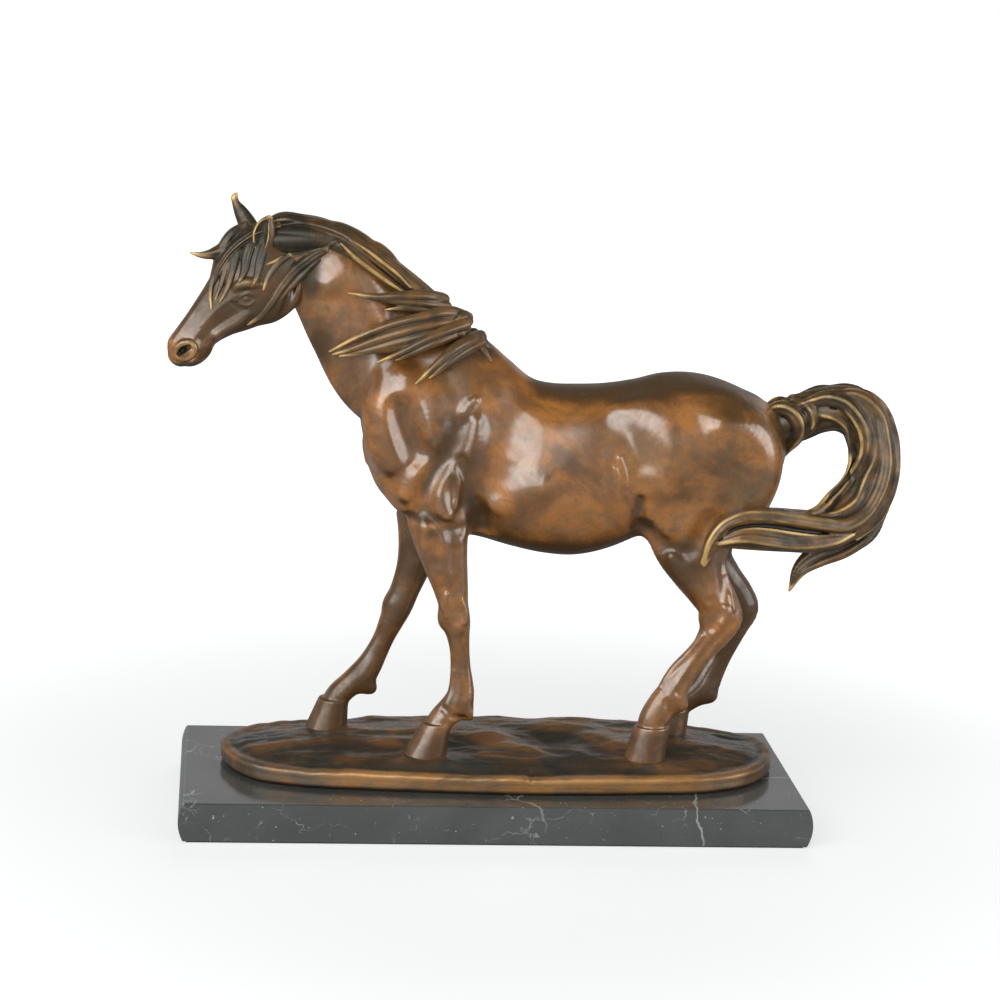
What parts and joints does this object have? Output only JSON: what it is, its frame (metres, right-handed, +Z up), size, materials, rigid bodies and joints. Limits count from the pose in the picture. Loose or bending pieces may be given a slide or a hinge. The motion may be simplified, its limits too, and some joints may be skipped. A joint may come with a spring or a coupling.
{
  "type": "bronze horse statue",
  "caption": "Bronze statue of an Arabian horse in walk, wind-blown mane and curled tail, on a bronze ground bolted to a polished marble plinth.",
  "frame": {"origin": "centre of the plinth's underside, on the face of the felt that it rests on", "axes": "+Z up; the horse faces -X, and its left side is towards -Y"},
  "size_m": [0.4525, 0.15, 0.377],
  "materials": {
    "body_bronze": "glossy chestnut-brown patina under clear lacquer",
    "hair_bronze": "dark patina with edges rubbed back to gold",
    "ground_bronze": "near-black and rust-brown patina, rubbed rim",
    "bare_bronze": "unpatinated cast bronze",
    "marble": "polished near-black marble with thin white veins",
    "felt": "dark green felt",
    "steel": "zinc-plated steel"
  },
  "bodies": {
    "root": {"marble_plinth": "marble", "felt_sheet": "felt", "base_bolts": "steel", "base_washers": "steel", "ground_casting": "ground_bronze", "hoof_pins": "bare_bronze", "torso_casting": "body_bronze", "core_plugs": "bare_bronze", "neck_casting": "body_bronze", "head_casting": "body_bronze", "ear_left": "hair_bronze", "ear_right": "hair_bronze", "foreleg_left": "body_bronze", "foreleg_right": "body_bronze", "hindleg_left": "body_bronze", "hindleg_right": "body_bronze", "tail_casting": "hair_bronze", "tail_lower_lock": "hair_bronze", "tail_dowel": "steel", "forelock": "hair_bronze", "mane_crest": "hair_bronze", "mane_lock_1": "hair_bronze", "mane_lock_2": "hair_bronze", "mane_lock_3": "hair_bronze", "mane_lock_4": "hair_bronze", "withers_lock": "hair_bronze", "cheek_lock": "hair_bronze"}
  },
  "joints": []
}
